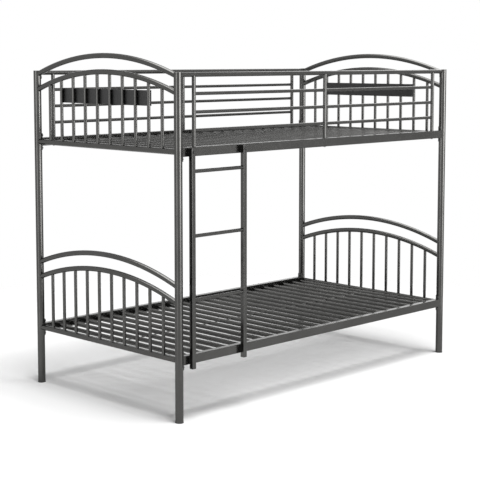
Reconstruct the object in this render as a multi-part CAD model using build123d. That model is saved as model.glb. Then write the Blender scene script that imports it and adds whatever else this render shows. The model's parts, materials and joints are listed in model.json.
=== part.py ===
"""Bunk bed in steel tube: two beds of the same pattern, one standing on the other.

X runs along the bed, the ladder is on the -Y side, and the floor is Z = 0.
The origin is at the middle of the floor area that the bed covers, ladder included.
"""
import os
from math import asin, degrees, sqrt

from build123d import *

# The two beds
post_spacing_x = 1994.0
post_spacing_y = 1053.0
lower_post_height = 955.0
upper_post_length = 645.0
rail_centre_height = 287.0

# Posts, their feet, caps and connectors
post_diameter = 38.0
post_wall = 1.2
foot_cap_thickness = 5.0
foot_cap_overhang = 0.8
foot_cap_stem_length = 25.0
top_cap_thickness = 1.5
top_cap_stem_length = 18.0
connector_wall = 2.5
connector_reach = 80.0
connector_collar_thickness = 1.5
sliding_clearance = 0.3
plug_clearance = 0.1

# Side rails and the plates that carry them
rail_height = 42.0
rail_width = 30.0
rail_wall = 1.2
rail_corner_radius = 3.0
end_plate_thickness = 3.5
end_plate_height = 85.0
end_plate_width = 28.0
end_plate_bolt_rise = 32.0

# Bolts and their nuts
bolt_diameter = 8.0
bolt_head_diameter = 14.0
bolt_head_height = 5.0
bolt_reach_past_wall = 8.0
nut_height = 6.0
nut_wall = 2.5
small_bolt_diameter = 6.0
small_bolt_head_diameter = 11.0
small_bolt_head_height = 3.5
upright_nut_length = 16.0

# Slats
slat_count = 22
slat_pitch = 84.8
slat_diameter = 22.2
slat_wall = 0.8
slat_drop_below_rail_centre = 5.0
end_slat_gap_to_end_rail = 10.0
tie_rod_diameter = 6.0

# End panels
panel_tube_diameter = 25.4
panel_tube_wall = 1.0
end_rail_height = 289.0
outer_arch_end_drop = 12.0
arch_end_spacing = 77.0
arch_rise = 88.0
spindle_count = 10
spindle_pitch = 93.4
spindle_diameter = 16.0
spindle_wall = 0.8

# Dark boards on the upper end panels
board_height = 72.0
board_thickness = 9.0
board_bottom_drop = 66.0
board_first_spindle = 1
board_screw_spindle = 2
board_screw_diameter = 4.0
board_screw_head_diameter = 8.0
board_screw_head_height = 2.5

# Guard rails of the upper bed
guard_tube_diameter = 22.0
guard_tube_wall = 1.0
guard_top_drop = 10.0
guard_upright_diameter = 19.0
guard_upright_wall = 1.0
guard_upright_reach_x = 900.0
guard_upright_count = 3
guard_bar_diameter = 16.0
guard_bar_wall = 0.8
guard_bar_top_gap = 67.0
guard_bar_bottom_gap = 66.0
guard_bar_count = 3
guard_tab_drop = 32.0
guard_tab_width = 22.0
guard_tab_thickness = 3.0
guard_tab_bolt_drop = 22.0

# Ladder
stile_width = 22.0
stile_wall = 1.2
stile_corner_radius = 2.0
stile_spacing = 330.5
stile_first_x = -938.5
stile_reach_below_rail = 19.0
stile_top_drop = 4.0
stile_gap_to_rail = 3.0
rung_diameter = 17.0
rung_wall = 1.2
rung_top_drop = 105.0
rung_pitch = 295.0
rung_count = 3
spacer_height = 36.0
lower_spacer_rise = 5.0
ladder_plug_thickness = 2.0
ladder_plug_depth = 8.0

# One overrun serves every cut
overrun = 5.0

post_radius = post_diameter / 2
post_bore = post_radius - post_wall
half_x = post_spacing_x / 2
half_y = post_spacing_y / 2
collar_top = lower_post_height + connector_collar_thickness
upper_base = lower_post_height
post_top = lower_post_height + upper_post_length
rail_top_height = rail_centre_height + rail_height / 2

# Both beds have the same end panels, so the upper posts set the arches of both
outer_arch_end_height = upper_post_length - outer_arch_end_drop
inner_arch_end_height = outer_arch_end_height - arch_end_spacing
board_bottom_height = inner_arch_end_height - board_bottom_drop

# The bars fill the height between the side rail and the guard's top rail
guard_top_height = upper_post_length - guard_top_drop
guard_bar_top_height = guard_top_height - guard_bar_top_gap - (guard_tube_diameter + guard_bar_diameter) / 2
guard_bar_low_height = rail_top_height + guard_bar_bottom_gap + guard_bar_diameter / 2
guard_bar_pitch = (guard_bar_top_height - guard_bar_low_height) / (guard_bar_count - 1)

# The stiles reach from below the lower side rail to just under the top of the upper one
stile_bottom_height = rail_centre_height - rail_height / 2 - stile_reach_below_rail
stile_top_height = upper_base + rail_top_height - stile_top_drop
ladder_face_y = -(half_y + rail_width / 2 + stile_gap_to_rail + stile_width)
stile_centre_y = ladder_face_y + stile_width / 2

# The ladder reaches further out than the feet, so the middle of the floor area isn't
# midway between the posts.
back_reach_y = half_y + post_radius + foot_cap_overhang
middle_y = (ladder_face_y + back_reach_y) / 2
bases = {"lower": 0.0, "upper": upper_base}
ends = {"left": -1, "right": 1}
sides = {"front": -1, "back": 1}


def rod(diameter, length):
    """Solid round bar on +Z, standing on its end."""
    return Cylinder(diameter / 2, length, align=(Align.CENTER, Align.CENTER, Align.MIN))


def tube(diameter, wall, length):
    """Open round tube on +Z, standing on its end."""
    return rod(diameter, length) - rod(diameter - 2 * wall, length)


def along_x(shape):
    return Rot(0, 90, 0) * shape


def along_y(shape):
    return Rot(-90, 0, 0) * shape


def bore_corner(wall, corner):
    """Corner radius inside a rectangular tube."""
    return corner - wall / 2


def square_tube(width, height, wall, corner, length):
    """Rectangular tube on +Z, standing on its end."""
    outline = RectangleRounded(width, height, corner)
    bore = RectangleRounded(width - 2 * wall, height - 2 * wall, bore_corner(wall, corner))
    return extrude(outline - bore, length)


def block(size_x, size_y, size_z):
    return Box(size_x, size_y, size_z, align=(Align.CENTER, Align.CENTER, Align.MIN))


def post_places():
    """Axis of each post with the words that name it."""
    return [
        (f"{side}_{end}", ends[end] * half_x, sides[side] * half_y)
        for side in sides
        for end in ends
    ]


def inward(x):
    """Which way along X a post at x has its bed side turned: 1 for a post on the +X end."""
    return 1 if x > 0 else -1


def post(low, high, sign, holes):
    """One post tube, with bolt holes on the side that faces the bed's middle."""
    shape = Pos(0, 0, low) * tube(post_diameter, post_wall, high - low)
    for height, diameter in holes:
        hole = Pos(0, 0, height) * Rot(0, -sign * 90, 0) * rod(diameter, post_diameter)
        shape -= hole
    return shape


def lower_post(sign):
    holes = [(height, bolt_diameter) for height in rail_bolt_heights(0)]
    return post(foot_cap_thickness, lower_post_height, sign, holes)


def upper_post(sign):
    holes = [(height, bolt_diameter) for height in rail_bolt_heights(upper_base)]
    holes.append((tab_bolt_height(), small_bolt_diameter))
    return post(collar_top, post_top, sign, holes)


def foot_cap():
    """Plastic foot: a round pad under the tube with a stem pushed up inside it."""
    pad = rod(post_diameter + 2 * foot_cap_overhang, foot_cap_thickness)
    pad = fillet(pad.edges().filter_by(GeomType.CIRCLE), foot_cap_overhang)
    stem = rod(2 * (post_bore - plug_clearance), foot_cap_thickness + foot_cap_stem_length)
    return pad + stem


def top_cap():
    """Plastic plug, flush with the tube, that closes the post's top."""
    disc = rod(post_diameter, top_cap_thickness)
    disc = fillet(disc.edges().filter_by(GeomType.CIRCLE).sort_by(Axis.Z)[-1], top_cap_thickness / 2)
    stem = rod(2 * (post_bore - plug_clearance), top_cap_stem_length)
    return disc + Pos(0, 0, -top_cap_stem_length) * stem


def post_connector():
    """Sleeve that joins the posts: fast in the lower one, a sliding fit in the upper one."""
    outer = post_bore - sliding_clearance
    length = 2 * connector_reach + connector_collar_thickness
    collar = rod(post_diameter, connector_collar_thickness)
    sleeve = Pos(0, 0, -connector_reach) * rod(2 * outer, length)
    bore = Pos(0, 0, -connector_reach) * rod(2 * (outer - connector_wall), length)
    return Pos(0, 0, lower_post_height) * (collar + sleeve - bore)


def end_plate(sign, base):
    """Saddle that hugs the post's inner side and is drilled for two bolts."""
    bottom = base + rail_centre_height - end_plate_height / 2
    shell = tube(post_diameter + 2 * end_plate_thickness, end_plate_thickness, end_plate_height)
    window = Pos(-sign * post_diameter / 2, 0, 0) * block(post_diameter, end_plate_width, end_plate_height)
    shape = Pos(0, 0, bottom) * (shell & window)
    for height in rail_bolt_heights(base):
        shape -= Pos(0, 0, height) * Rot(0, -sign * 90, 0) * rod(bolt_diameter, post_diameter)
    return shape


def bolt(diameter, head_diameter, head_height, start, seat):
    """Dome-headed bolt on +Z: its tip is at start and its head sits on seat."""
    shank = Pos(0, 0, start) * rod(diameter, seat - start)
    head = Pos(0, 0, seat) * rod(head_diameter, head_height)
    head = fillet(head.edges().filter_by(GeomType.CIRCLE).sort_by(Axis.Z)[-1], head_height / 2)
    return shank + head


def bolts_into_posts(diameter, head_diameter, head_height, seat, heights):
    """Bolts that point at every post from the bed's middle, their tips inside the post."""
    one = bolt(diameter, head_diameter, head_height, post_bore - bolt_reach_past_wall, seat)
    return [
        Pos(x, y, height) * Rot(0, -inward(x) * 90, 0) * one
        for name, x, y in post_places()
        for height in heights
    ]


def nuts_in_posts(diameter, heights):
    """Nuts fast inside every post, their outer faces shaped to its bore."""
    start = post_bore - nut_height
    ring = Pos(0, 0, start) * tube(diameter + 2 * nut_wall, nut_wall, nut_height)
    nuts = []
    for height in heights:
        bore = Pos(0, 0, height - diameter - nut_wall) * rod(2 * post_bore, 2 * diameter + 2 * nut_wall)
        nuts += [
            Pos(x, y, 0) * (Pos(0, 0, height) * Rot(0, -inward(x) * 90, 0) * ring & bore)
            for name, x, y in post_places()
        ]
    return nuts


def rail_bolt_heights(base):
    middle = base + rail_centre_height
    return [middle - end_plate_bolt_rise, middle + end_plate_bolt_rise]


def rail_bolts(base):
    seat = post_radius + end_plate_thickness
    return bolts_into_posts(bolt_diameter, bolt_head_diameter, bolt_head_height, seat, rail_bolt_heights(base))


def side_rail(side, base):
    """Rectangular tube between the saddles, its ends cut to their curve."""
    tube_along = along_x(square_tube(rail_height, rail_width, rail_wall, rail_corner_radius, post_spacing_x))
    shape = Pos(-half_x, sides[side] * half_y, base + rail_centre_height) * tube_along
    seat = rod(post_diameter + 2 * end_plate_thickness, rail_height + 2 * overrun)
    low = base + rail_centre_height - rail_height / 2 - overrun
    for sign in (-1, 1):
        shape -= Pos(sign * half_x, sides[side] * half_y, low) * seat
    return shape


def upper_side_rail(side):
    """The upper rails are drilled upright for the guard's bolts."""
    shape = side_rail(side, upper_base)
    low = upper_base + rail_centre_height - rail_height / 2 - overrun
    for x in guard_upright_places():
        hole = rod(small_bolt_diameter, rail_height + 2 * overrun)
        shape -= Pos(x, sides[side] * half_y, low) * hole
    return shape


def upper_front_side_rail():
    """The front rail has a hole for each of the ladder's bolts too."""
    shape = upper_side_rail("front")
    depth = rail_width / 2 + overrun
    for x in stile_places():
        hole = along_y(rod(small_bolt_diameter, depth))
        shape -= Pos(x, -half_y - depth, spacer_middle_height()) * hole
    return shape


def slat_places():
    """The even slats, and one more beside each end rail."""
    first = -(slat_count - 1) / 2 * slat_pitch
    last = half_x - panel_tube_diameter / 2 - end_slat_gap_to_end_rail - slat_diameter / 2
    return [-last] + [first + turn * slat_pitch for turn in range(slat_count)] + [last]


def slat_height(base):
    return base + rail_centre_height - slat_drop_below_rail_centre


def slats(base):
    """Round slats between the rails, drilled for the tie rod."""
    length = post_spacing_y - rail_width
    one = Pos(0, -length / 2, 0) * along_y(tube(slat_diameter, slat_wall, length))
    one -= Pos(-slat_diameter / 2, 0, 0) * along_x(rod(tie_rod_diameter + 2 * plug_clearance, slat_diameter))
    return [Pos(x, 0, slat_height(base)) * one for x in slat_places()]


def tie_rod(base):
    """Thin rod through the middle of all the slats, welded to both end rails."""
    shape = Pos(-half_x, 0, slat_height(base)) * along_x(rod(tie_rod_diameter, post_spacing_x))
    for sign in (-1, 1):
        shape -= Pos(sign * half_x, -half_y, base + end_rail_height) * along_y(rod(panel_tube_diameter, post_spacing_y))
    return shape


def cut_by_posts(shape, sign, low):
    """Ends of a panel tube, coped to the posts."""
    cutter = rod(post_diameter, upper_post_length + outer_arch_end_height)
    for side in sides.values():
        shape -= Pos(sign * half_x, side * half_y, low) * cutter
    return shape


def end_rail(sign, base):
    shape = along_y(tube(panel_tube_diameter, panel_tube_wall, post_spacing_y))
    return cut_by_posts(Pos(sign * half_x, -half_y, base + end_rail_height) * shape, sign, base)


def arch_radius():
    chord = half_y - post_radius
    return (chord * chord + arch_rise * arch_rise) / (2 * arch_rise)


def arch(sign, base, end_height):
    """Bent tube from post to post, one arc, its ends coped to the posts."""
    radius = arch_radius()
    centre_height = base + end_height + arch_rise - radius
    half_angle = degrees(asin((half_y - post_bore / 2) / radius))
    path = Plane.YZ * CenterArc((0, centre_height), radius, 90 - half_angle, 2 * half_angle)
    start = Plane(origin=path @ 0, z_dir=path % 0)
    section = Circle(panel_tube_diameter / 2) - Circle(panel_tube_diameter / 2 - panel_tube_wall)
    shape = sweep(start * section, path=path)
    return cut_by_posts(Pos(sign * half_x, 0, 0) * shape, sign, base)


def spindle_places():
    first = -(spindle_count - 1) / 2 * spindle_pitch
    return [first + turn * spindle_pitch for turn in range(spindle_count)]


def spindles(sign, base):
    """Upright tubes from the end rail to the inner arch, coped at both ends."""
    radius = arch_radius()
    centre_height = base + inner_arch_end_height + arch_rise - radius
    low = base + end_rail_height
    rail = Pos(sign * half_x, -half_y, low) * along_y(rod(panel_tube_diameter, post_spacing_y))
    bow = Pos(sign * half_x, 0, centre_height) * Rot(0, 90, 0) * Torus(radius, panel_tube_diameter / 2)
    found = []
    for y in spindle_places():
        length = centre_height + sqrt(radius * radius - y * y) - low
        one = Pos(sign * half_x, y, low) * tube(spindle_diameter, spindle_wall, length)
        found.append(one - rail - bow)
    return found


def board_face():
    """How far from the post's axis plane the board's bed side lies, towards the middle."""
    return spindle_diameter / 2 + board_thickness


def board_screw_places():
    reach = abs(spindle_places()[board_screw_spindle])
    return [-reach, reach]


def board_screw_height():
    return upper_base + board_bottom_height + board_height / 2


def screw_bars(sign, length, start):
    """Bars on the axes of one board's screws, pointing from start away from the end."""
    one = Rot(0, -sign * 90, 0) * (Pos(0, 0, start) * rod(board_screw_diameter, length))
    return [Pos(sign * half_x, y, board_screw_height()) * one for y in board_screw_places()]


def end_board(sign):
    """Flat board on the bed side of the middle spindles."""
    reach = abs(spindle_places()[board_first_spindle])
    middle = half_x - board_face() + board_thickness / 2
    shape = Pos(sign * middle, 0, upper_base + board_bottom_height) * block(
        board_thickness, 2 * reach, board_height
    )
    for bar in screw_bars(sign, board_face() + overrun, 0):
        shape -= bar
    return shape


def upper_spindles(sign):
    """The spindles that take a board's screw are drilled on their bed side."""
    found = spindles(sign, upper_base)
    drilled = (board_screw_spindle, spindle_count - 1 - board_screw_spindle)
    for place, bar in zip(drilled, screw_bars(sign, spindle_diameter, 0)):
        found[place] -= bar
    return found


def board_screws():
    one = bolt(board_screw_diameter, board_screw_head_diameter, board_screw_head_height, 0, board_face())
    return [
        Pos(sign * half_x, y, board_screw_height()) * Rot(0, -sign * 90, 0) * one
        for sign in ends.values()
        for y in board_screw_places()
    ]


def guard_top(side):
    """Top rail of a guard, from post to post."""
    shape = along_x(tube(guard_tube_diameter, guard_tube_wall, post_spacing_x))
    shape = Pos(-half_x, sides[side] * half_y, upper_base + guard_top_height) * shape
    cutter = rod(post_diameter, upper_post_length + overrun)
    for sign in (-1, 1):
        shape -= Pos(sign * half_x, sides[side] * half_y, upper_base) * cutter
    return shape


def guard_upright_places():
    step = 2 * guard_upright_reach_x / (guard_upright_count - 1)
    return [-guard_upright_reach_x + turn * step for turn in range(guard_upright_count)]


def guard_upright(side, x):
    """Upright tube that stands on the side rail and ends under the guard's top rail."""
    low = upper_base + rail_centre_height + rail_height / 2
    length = upper_base + guard_top_height - low
    shape = Pos(x, sides[side] * half_y, low) * tube(guard_upright_diameter, guard_upright_wall, length)
    top = along_x(rod(guard_tube_diameter, guard_tube_diameter * 2))
    return shape - Pos(x - guard_tube_diameter, sides[side] * half_y, upper_base + guard_top_height) * top


def guard_bars(side):
    """Thin bars between the uprights, one piece for each bay, coped at both ends."""
    found = []
    places = guard_upright_places()
    low = upper_base + rail_centre_height + rail_height / 2
    for turn in range(guard_bar_count):
        height = upper_base + guard_bar_top_height - turn * guard_bar_pitch
        for x, next_x in zip(places, places[1:]):
            bar = along_x(tube(guard_bar_diameter, guard_bar_wall, next_x - x))
            bar = Pos(x, sides[side] * half_y, height) * bar
            for end in (x, next_x):
                bar -= Pos(end, sides[side] * half_y, low) * rod(guard_upright_diameter, guard_top_height)
            found.append(bar)
    return found


def guard_upright_bolts():
    """Bolts up through the side rails into the feet of the uprights, their heads below."""
    length = rail_height + upright_nut_length
    one = bolt(small_bolt_diameter, small_bolt_head_diameter, small_bolt_head_height, 0, length)
    top = upper_base + rail_centre_height - rail_height / 2 + length
    return [
        Pos(x, side * half_y, top) * Rot(180, 0, 0) * one
        for side in sides.values()
        for x in guard_upright_places()
    ]


def guard_upright_nuts():
    """Threaded plugs inside the feet of the uprights."""
    outer = guard_upright_diameter - 2 * guard_upright_wall - 2 * plug_clearance
    one = tube(outer, (outer - small_bolt_diameter) / 2, upright_nut_length)
    low = upper_base + rail_centre_height + rail_height / 2
    return [Pos(x, side * half_y, low) * one for side in sides.values() for x in guard_upright_places()]


def tab_bolt_height():
    return upper_base + guard_top_height - guard_tab_bolt_drop


def guard_tab(sign, y):
    """Small curved tab under a guard's end, drilled for its bolt to the post."""
    bottom = upper_base + guard_top_height - guard_tab_drop
    shell = tube(post_diameter + 2 * guard_tab_thickness, guard_tab_thickness, guard_tab_drop)
    window = Pos(-sign * post_diameter / 2, 0, 0) * block(post_diameter, guard_tab_width, guard_tab_drop)
    shape = Pos(sign * half_x, y, bottom) * (shell & window)
    hole = Pos(sign * half_x, y, tab_bolt_height()) * Rot(0, -sign * 90, 0)
    shape -= hole * rod(small_bolt_diameter, post_diameter)
    top = along_x(rod(guard_tube_diameter, post_spacing_x))
    return shape - Pos(-half_x, y, upper_base + guard_top_height) * top


def guard_tab_bolts():
    seat = post_radius + guard_tab_thickness
    return bolts_into_posts(
        small_bolt_diameter, small_bolt_head_diameter, small_bolt_head_height, seat, [tab_bolt_height()]
    )


def stile_places():
    return [stile_first_x, stile_first_x + stile_spacing]


def spacer_middle_height():
    return stile_top_height - spacer_height / 2


def lower_spacer_middle_height():
    return rail_centre_height + lower_spacer_rise


def ladder_stile(x):
    """Square tube, drilled near its top for the bolt that holds the ladder."""
    length = stile_top_height - stile_bottom_height - 2 * ladder_plug_thickness
    shape = square_tube(stile_width, stile_width, stile_wall, stile_corner_radius, length)
    shape = Pos(x, stile_centre_y, stile_bottom_height + ladder_plug_thickness) * shape
    hole = along_y(rod(small_bolt_diameter, 2 * stile_width))
    return shape - Pos(x, stile_centre_y - stile_width, spacer_middle_height()) * hole


def ladder_plug(x, height, turn):
    """Plug that closes one end of a stile; turn is 1 at the top and -1 at the bottom."""
    cover = extrude(RectangleRounded(stile_width, stile_width, stile_corner_radius), ladder_plug_thickness)
    inside = stile_width - 2 * stile_wall - 2 * plug_clearance
    outline = RectangleRounded(inside, inside, bore_corner(stile_wall, stile_corner_radius))
    stem = extrude(outline, ladder_plug_depth)
    shape = cover + Pos(0, 0, -ladder_plug_depth) * stem
    if turn < 0:
        shape = Rot(180, 0, 0) * shape
    return Pos(x, stile_centre_y, height) * shape


def ladder_plugs():
    top = stile_top_height - ladder_plug_thickness
    bottom = stile_bottom_height + ladder_plug_thickness
    return [ladder_plug(x, height, turn) for x in stile_places() for height, turn in ((top, 1), (bottom, -1))]


def ladder_rungs():
    left, right = stile_places()
    length = right - left - stile_width
    return [
        Pos(left + stile_width / 2, stile_centre_y, stile_top_height - rung_top_drop - turn * rung_pitch)
        * along_x(tube(rung_diameter, rung_wall, length))
        for turn in range(rung_count)
    ]


def ladder_spacer(x, middle_height, drilled):
    """Thin pad between a stile and the side rail behind it."""
    shape = Pos(x, ladder_face_y + stile_width + stile_gap_to_rail / 2, middle_height - spacer_height / 2) * block(
        stile_width, stile_gap_to_rail, spacer_height
    )
    if drilled:
        hole = along_y(rod(small_bolt_diameter, stile_width + stile_gap_to_rail))
        shape -= Pos(x, stile_centre_y, middle_height) * hole
    return shape


def ladder_bolts():
    """Bolts from the stile's front face through the spacer into the rail."""
    length = stile_width + stile_gap_to_rail + rail_wall + bolt_reach_past_wall
    one = bolt(small_bolt_diameter, small_bolt_head_diameter, small_bolt_head_height, 0, length)
    return [
        Pos(x, ladder_face_y + length, spacer_middle_height()) * Rot(90, 0, 0) * one for x in stile_places()
    ]


def panel(level, end):
    """The four kinds of piece in one end panel."""
    base, sign = bases[level], ends[end]
    uprights = spindles(sign, base) if level == "lower" else upper_spindles(sign)
    return {
        f"{level}_{end}_end_rail": [end_rail(sign, base)],
        f"{level}_{end}_inner_arch": [arch(sign, base, inner_arch_end_height)],
        f"{level}_{end}_outer_arch": [arch(sign, base, outer_arch_end_height)],
        f"{level}_{end}_spindles": uprights,
    }


def bed_frame(level):
    """What both beds have alike."""
    base = bases[level]
    pieces = {
        f"{level}_slats": slats(base),
        f"{level}_slat_tie_rod": [tie_rod(base)],
        f"{level}_rail_bolts": rail_bolts(base),
        f"{level}_rail_end_plates": [
            Pos(x, y, 0) * end_plate(inward(x), base) for name, x, y in post_places()
        ],
    }
    for end in ends:
        pieces.update(panel(level, end))
    return pieces


def lower_bed():
    pieces = bed_frame("lower")
    pieces["lower_front_side_rail"] = [side_rail("front", 0)]
    pieces["lower_back_side_rail"] = [side_rail("back", 0)]
    pieces["lower_post_nuts"] = nuts_in_posts(bolt_diameter, rail_bolt_heights(0))
    pieces["foot_caps"] = [Pos(x, y, 0) * foot_cap() for name, x, y in post_places()]
    pieces["post_connectors"] = [Pos(x, y, 0) * post_connector() for name, x, y in post_places()]
    for name, x, y in post_places():
        pieces[f"lower_post_{name}"] = [Pos(x, y, 0) * lower_post(inward(x))]
    return pieces


def guards():
    pieces = {
        "guard_tab_bolts": guard_tab_bolts(),
        "guard_end_tabs": [guard_tab(inward(x), y) for name, x, y in post_places()],
        "guard_upright_bolts": guard_upright_bolts(),
        "guard_upright_nuts": guard_upright_nuts(),
    }
    for side in sides:
        pieces[f"{side}_guard_top_rail"] = [guard_top(side)]
        pieces[f"{side}_guard_uprights"] = [guard_upright(side, x) for x in guard_upright_places()]
        pieces[f"{side}_guard_bars"] = guard_bars(side)
    return pieces


def ladder():
    left, right = stile_places()
    spacers = [ladder_spacer(x, spacer_middle_height(), True) for x in stile_places()]
    spacers += [ladder_spacer(x, lower_spacer_middle_height(), False) for x in stile_places()]
    return {
        "ladder_left_stile": [ladder_stile(left)],
        "ladder_right_stile": [ladder_stile(right)],
        "ladder_rungs": ladder_rungs(),
        "ladder_end_plugs": ladder_plugs(),
        "ladder_spacers": spacers,
        "ladder_bolts": ladder_bolts(),
    }


def upper_bed():
    pieces = bed_frame("upper")
    pieces["upper_front_side_rail"] = [upper_front_side_rail()]
    pieces["upper_back_side_rail"] = [upper_side_rail("back")]
    pieces["upper_post_nuts"] = nuts_in_posts(bolt_diameter, rail_bolt_heights(upper_base))
    pieces["upper_post_nuts"] += nuts_in_posts(small_bolt_diameter, [tab_bolt_height()])
    pieces["end_board_screws"] = board_screws()
    pieces["post_top_caps"] = [Pos(x, y, post_top) * top_cap() for name, x, y in post_places()]
    for name, x, y in post_places():
        pieces[f"upper_post_{name}"] = [Pos(x, y, 0) * upper_post(inward(x))]
    for end, sign in ends.items():
        pieces[f"upper_{end}_end_board"] = [end_board(sign)]
    pieces.update(guards())
    pieces.update(ladder())
    return pieces


def solids_of(pieces):
    return [solid for piece in pieces for solid in piece.solids()]


def main():
    os.makedirs("parts", exist_ok=True)
    nodes = lower_bed()
    nodes.update(upper_bed())
    for name, pieces in nodes.items():
        moved = [Pos(0, -middle_y, 0) * solid for solid in solids_of(pieces)]
        shape = moved[0] if len(moved) == 1 else Compound(children=moved)
        export_step(shape, f"parts/{name}.step")
        print(name, len(moved), "solids")


main()
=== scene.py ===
"""Looks of the bunk bed: finishes, lights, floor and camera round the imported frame."""
import json
import math
from collections import namedtuple

import bpy
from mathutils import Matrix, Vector


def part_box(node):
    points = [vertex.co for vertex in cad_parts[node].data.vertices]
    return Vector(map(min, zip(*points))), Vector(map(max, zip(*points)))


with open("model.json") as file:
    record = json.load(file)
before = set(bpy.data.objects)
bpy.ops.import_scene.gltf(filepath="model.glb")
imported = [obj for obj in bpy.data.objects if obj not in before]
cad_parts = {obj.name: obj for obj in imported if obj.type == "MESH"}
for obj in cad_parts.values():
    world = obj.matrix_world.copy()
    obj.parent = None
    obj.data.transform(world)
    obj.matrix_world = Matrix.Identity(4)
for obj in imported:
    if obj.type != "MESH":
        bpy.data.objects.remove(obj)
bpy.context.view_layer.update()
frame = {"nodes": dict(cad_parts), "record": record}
NODES = frame["nodes"]

# Camera, fitted to the photograph; lengths in metres, angles in degrees
CAMERA_FROM_POSTS = Vector((-4.8386, -4.7498, 1.6622))
CAMERA_YAW = 45.077
CAMERA_PITCH = 5.5
IMAGE_SIZE = 480
FOCAL_PIXELS = 1273.0
SENSOR_WIDTH = 36.0
SHIFT_Y = -0.1229

# Light levels: the lamp's strength, and radiance where 1 is white; angles in degrees
WHITE = 1.0
AMBIENT_LEVEL = 0.2
KEY_STRENGTH = 3.4
KEY_ANGLE = 26.0
KEY_LEAN = 0.26

# Floor, a disc that is full up to one radius and fades out at the next; lengths in metres
FLOOR_ALBEDO = 0.86
FLOOR_FADE_FROM = 2.2
FLOOR_RADIUS = 3.0
FLOOR_CORNERS = 96

# Noise of the finishes: scale, detail and roughness, where a grain brings its own scale, and
# the part of the noise's range that is used
PATCHES = (6.0, 4.0, 0.55)
SMUDGES = (18.0, 5.0, 0.6)
GRAIN = (3.0, 0.6)
NOISE_LOW = 0.3
NOISE_HIGH = 0.7

# Gloss of the finishes, with the tint of a metal's reflections at a grazing angle
SPECULAR = 0.5
GRAZING_TINT = (0.7, 0.7, 0.7, 1)
BEVEL_SAMPLES = 4

# Soft lights that only the paint reflects, beside the plain white background: azimuth from
# +X, half width and soft edge in degrees, level above white, and the heights (sines of the
# elevation) between which each one comes in and goes out
SoftLight = namedtuple("SoftLight", "azimuth half_width soft_edge level rise fall")
SOFT_LIGHTS = (
    SoftLight(287.0, 9.0, 10.0, 10.5, (-0.2, -0.02), (0.15, 0.3)),
    SoftLight(186.0, 6.0, 9.0, 3.4, (-0.22, -0.06), (0.15, 0.3)),
    SoftLight(48.0, 8.0, 7.0, 1.9, (0.12, 0.17), (0.19, 0.24)),
    SoftLight(14.0, 20.0, 9.0, 4.6, (0.2, 0.32), (0.5, 0.7)),
    SoftLight(75.0, 60.0, 40.0, 7.0, (0.76, 0.84), (1.1, 1.2)),
)


def posts_middle():
    """Middle of the four posts on the floor, worked out from two of them."""
    low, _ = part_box("lower_post_front_left")
    _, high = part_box("lower_post_back_right")
    return Vector(((low.x + high.x) / 2, (low.y + high.y) / 2, 0))


def socket(node, name, value):
    node.inputs[name].default_value = value


class Tree:
    """Small helper that adds nodes to a material's or world's tree and links them."""

    def __init__(self, owner):
        owner.use_nodes = True
        self.tree = owner.node_tree
        self.tree.nodes.clear()

    def add(self, kind, **values):
        node = self.tree.nodes.new(kind)
        for name, value in values.items():
            setattr(node, name, value)
        return node

    def link(self, source, target):
        self.tree.links.new(source, target)

    def math(self, operation, first, second):
        node = self.add("ShaderNodeMath", operation=operation)
        for slot, value in enumerate((first, second)):
            if isinstance(value, float):
                node.inputs[slot].default_value = value
            else:
                self.link(value, node.inputs[slot])
        return node.outputs[0]

    def remap(self, value, low, high, to_low, to_high):
        node = self.add("ShaderNodeMapRange")
        self.link(value, node.inputs["Value"])
        numbers = {"From Min": low, "From Max": high, "To Min": to_low, "To Max": to_high}
        for name, number in numbers.items():
            socket(node, name, number)
        return node.outputs["Result"]

    def noise(self, scale, detail, roughness, coordinates):
        node = self.add("ShaderNodeTexNoise")
        socket(node, "Scale", scale)
        socket(node, "Detail", detail)
        socket(node, "Roughness", roughness)
        self.link(coordinates, node.inputs["Vector"])
        return node.outputs["Fac"]


def object_coordinates(tree):
    return tree.add("ShaderNodeTexCoord").outputs["Object"]


def colour_between(tree, factor, low, high):
    node = tree.add("ShaderNodeMix", data_type="RGBA")
    tree.link(factor, node.inputs["Factor"])
    socket(node, "A", (*low, 1))
    socket(node, "B", (*high, 1))
    return node.outputs["Result"]


def bump(tree, height):
    """Normal of a surface that is raised by a height in metres."""
    node = tree.add("ShaderNodeBump")
    tree.link(height, node.inputs["Height"])
    socket(node, "Strength", 1.0)
    socket(node, "Distance", 1.0)
    return node.outputs["Normal"]


def rubbed_edges(tree, colour, wear):
    """The colour with lighter, rubbed edges, found where a rounded normal leaves the flat one."""
    edge = tree.add("ShaderNodeBevel", samples=BEVEL_SAMPLES)
    socket(edge, "Radius", wear["radius"])
    geometry = tree.add("ShaderNodeNewGeometry")
    product = tree.add("ShaderNodeVectorMath", operation="DOT_PRODUCT")
    tree.link(edge.outputs[0], product.inputs[0])
    tree.link(geometry.outputs["Normal"], product.inputs[1])
    rubbed = tree.remap(product.outputs["Value"], 1.0, wear["edge"], 0.0, wear["amount"])
    mix = tree.add("ShaderNodeMix", data_type="RGBA")
    tree.link(rubbed, mix.inputs["Factor"])
    tree.link(colour, mix.inputs["A"])
    socket(mix, "B", (*wear["colour"], 1))
    return mix.outputs["Result"]


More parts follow.
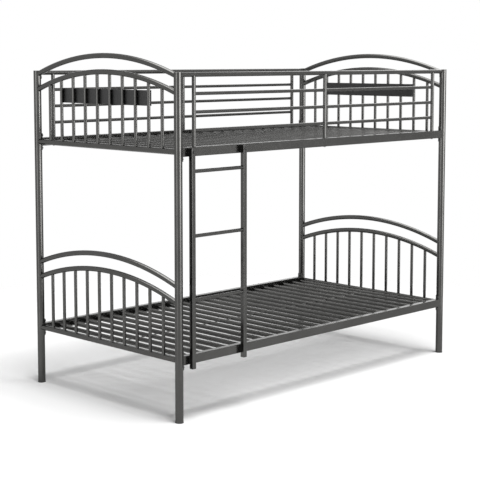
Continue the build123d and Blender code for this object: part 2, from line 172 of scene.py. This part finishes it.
def surface(name, colours, roughness, metallic, bumps, wear=None):
    """A procedural finish: colour and roughness vary in soft patches, and bumps lists its grains."""
    material = bpy.data.materials.new(name)
    tree = Tree(material)
    where = object_coordinates(tree)
    shader = tree.add("ShaderNodeBsdfPrincipled")
    output = tree.add("ShaderNodeOutputMaterial")
    tree.link(shader.outputs[0], output.inputs["Surface"])
    patches = tree.noise(*PATCHES, where)
    spread = tree.remap(patches, NOISE_LOW, NOISE_HIGH, 0.0, 1.0)
    colour = colour_between(tree, spread, *colours)
    if wear is not None:
        colour = rubbed_edges(tree, colour, wear)
    tree.link(colour, shader.inputs["Base Color"])
    smudge = tree.noise(*SMUDGES, where)
    tree.link(tree.remap(smudge, NOISE_LOW, NOISE_HIGH, *roughness), shader.inputs["Roughness"])
    socket(shader, "Metallic", metallic)
    socket(shader, "Specular IOR Level", SPECULAR)
    if metallic:
        socket(shader, "Specular Tint", GRAZING_TINT)
    grains = [tree.math("MULTIPLY", tree.noise(scale, *GRAIN, where), amount) for scale, amount in bumps]
    height = grains[0]
    for grain in grains[1:]:
        height = tree.math("ADD", height, grain)
    tree.link(bump(tree, height), shader.inputs["Normal"])
    return material


def gunmetal_paint():
    return surface(
        "gunmetal_paint",
        ((0.074, 0.0735, 0.071), (0.09, 0.0893, 0.0865)),
        (0.17, 0.22),
        1.0,
        ((60.0, 0.000006), (900.0, 0.0000008)),
        wear={"radius": 0.0008, "edge": 0.86, "amount": 0.35, "colour": (0.24, 0.238, 0.23)},
    )


def black_plastic():
    colours = ((0.010, 0.010, 0.010), (0.016, 0.016, 0.016))
    return surface("black_plastic", colours, (0.42, 0.55), 0.0, ((900.0, 0.00004),))


def dark_board_finish():
    colours = ((0.014, 0.014, 0.014), (0.021, 0.021, 0.021))
    return surface("dark_board_finish", colours, (0.36, 0.48), 0.0, ((500.0, 0.00003),))


def blackened_steel():
    colours = ((0.045, 0.045, 0.045), (0.07, 0.07, 0.068))
    return surface("blackened_steel", colours, (0.3, 0.42), 1.0, ((700.0, 0.00003),))


def finish_nodes():
    """Every CAD node takes the finish of its material slot in the record."""
    makers = {
        "painted_steel": gunmetal_paint,
        "black_plastic": black_plastic,
        "dark_board": dark_board_finish,
        "bolt_steel": blackened_steel,
    }
    finishes = {slot: make() for slot, make in makers.items()}
    for entry in frame["record"]["subparts"]:
        data = NODES[entry["node"]].data
        data.materials.clear()
        data.materials.append(finishes[entry["material_slot"]])


def facing_azimuth(tree, flat, azimuth):
    """How nearly a level direction points at an azimuth: 1 towards it and -1 away from it."""
    facing = tree.add("ShaderNodeVectorMath", operation="DOT_PRODUCT")
    tree.link(flat, facing.inputs[0])
    turn = math.radians(azimuth)
    facing.inputs[1].default_value = (math.cos(turn), math.sin(turn), 0)
    return facing.outputs["Value"]


def soft_light(tree, flat, height, light):
    """Radiance that one soft light adds to what the paint reflects in a direction."""
    facing = facing_azimuth(tree, flat, light.azimuth)
    outer = math.cos(math.radians(light.half_width + light.soft_edge))
    inner = math.cos(math.radians(light.half_width))
    across = tree.remap(facing, outer, inner, 0.0, light.level)
    up = tree.remap(height, *light.rise, 0.0, 1.0)
    down = tree.remap(height, *light.fall, 1.0, 0.0)
    return tree.math("MULTIPLY", across, tree.math("MULTIPLY", up, down))


def background(tree, strength):
    """A white background of that strength, which is a number or another node's output."""
    node = tree.add("ShaderNodeBackground")
    socket(node, "Color", (1, 1, 1, 1))
    if isinstance(strength, float):
        socket(node, "Strength", strength)
    else:
        tree.link(strength, node.inputs["Strength"])
    return node.outputs[0]


def studio_world():
    """White to the eye, to glass and to metal, where metal also shows the soft lights."""
    world = bpy.data.worlds.new("studio")
    bpy.context.scene.world = world
    tree = Tree(world)
    path = tree.add("ShaderNodeLightPath")
    where = tree.add("ShaderNodeTexCoord").outputs["Generated"]
    direction = tree.add("ShaderNodeSeparateXYZ")
    tree.link(where, direction.inputs[0])
    height = direction.outputs["Z"]
    level = tree.add("ShaderNodeVectorMath", operation="MULTIPLY")
    tree.link(where, level.inputs[0])
    level.inputs[1].default_value = (1, 1, 0)
    flat = tree.add("ShaderNodeVectorMath", operation="NORMALIZE")
    tree.link(level.outputs[0], flat.inputs[0])
    shown = WHITE
    for light in SOFT_LIGHTS:
        radiance = soft_light(tree, flat.outputs[0], height, light)
        shown = tree.math("ADD", shown, tree.math("MULTIPLY", radiance, path.outputs["Is Glossy Ray"]))
    seen = tree.math("MAXIMUM", path.outputs["Is Camera Ray"], path.outputs["Is Transmission Ray"])
    seen = tree.math("MAXIMUM", seen, path.outputs["Is Glossy Ray"])
    mix = tree.add("ShaderNodeMixShader")
    tree.link(seen, mix.inputs[0])
    tree.link(background(tree, AMBIENT_LEVEL), mix.inputs[1])
    tree.link(background(tree, shown), mix.inputs[2])
    output = tree.add("ShaderNodeOutputWorld")
    tree.link(mix.outputs[0], output.inputs["Surface"])


def key_light():
    """One wide soft lamp over the bed, a little to the front, which the paint doesn't mirror."""
    data = bpy.data.lights.new("overhead_key", "SUN")
    data.energy = KEY_STRENGTH
    data.angle = math.radians(KEY_ANGLE)
    lamp = bpy.data.objects.new("overhead_key", data)
    bpy.context.scene.collection.objects.link(lamp)
    lamp.rotation_euler = (math.atan(KEY_LEAN), 0, 0)
    lamp.visible_glossy = False


def floor():
    """Pale round floor that fades out before its edge, so that no edge shows."""
    bpy.ops.mesh.primitive_circle_add(
        vertices=FLOOR_CORNERS, radius=FLOOR_RADIUS, fill_type="NGON", location=(0, 0, 0)
    )
    plane = bpy.context.object
    plane.name = "studio_floor"
    material = bpy.data.materials.new("studio_floor")
    tree = Tree(material)
    shader = tree.add("ShaderNodeBsdfDiffuse")
    shader.inputs["Color"].default_value = (FLOOR_ALBEDO, FLOOR_ALBEDO, FLOOR_ALBEDO, 1)
    reach = tree.add("ShaderNodeVectorMath", operation="LENGTH")
    tree.link(object_coordinates(tree), reach.inputs[0])
    fade = tree.remap(reach.outputs["Value"], FLOOR_FADE_FROM, FLOOR_RADIUS, 0.0, 1.0)
    clear = tree.add("ShaderNodeBsdfTransparent")
    both = tree.add("ShaderNodeMixShader")
    tree.link(fade, both.inputs[0])
    tree.link(shader.outputs[0], both.inputs[1])
    tree.link(clear.outputs[0], both.inputs[2])
    output = tree.add("ShaderNodeOutputMaterial")
    tree.link(both.outputs[0], output.inputs["Surface"])
    plane.data.materials.append(material)


def camera():
    data = bpy.data.cameras.new("camera")
    data.sensor_width = SENSOR_WIDTH
    data.lens = FOCAL_PIXELS / IMAGE_SIZE * SENSOR_WIDTH
    data.shift_y = SHIFT_Y
    view = bpy.data.objects.new("camera", data)
    bpy.context.scene.collection.objects.link(view)
    view.location = posts_middle() + CAMERA_FROM_POSTS
    view.rotation_euler = (math.radians(90 - CAMERA_PITCH), 0, math.radians(-CAMERA_YAW))
    bpy.context.scene.camera = view


finish_nodes()
studio_world()
key_light()
floor()
camera()
bpy.context.scene.view_settings.view_transform = "Standard"
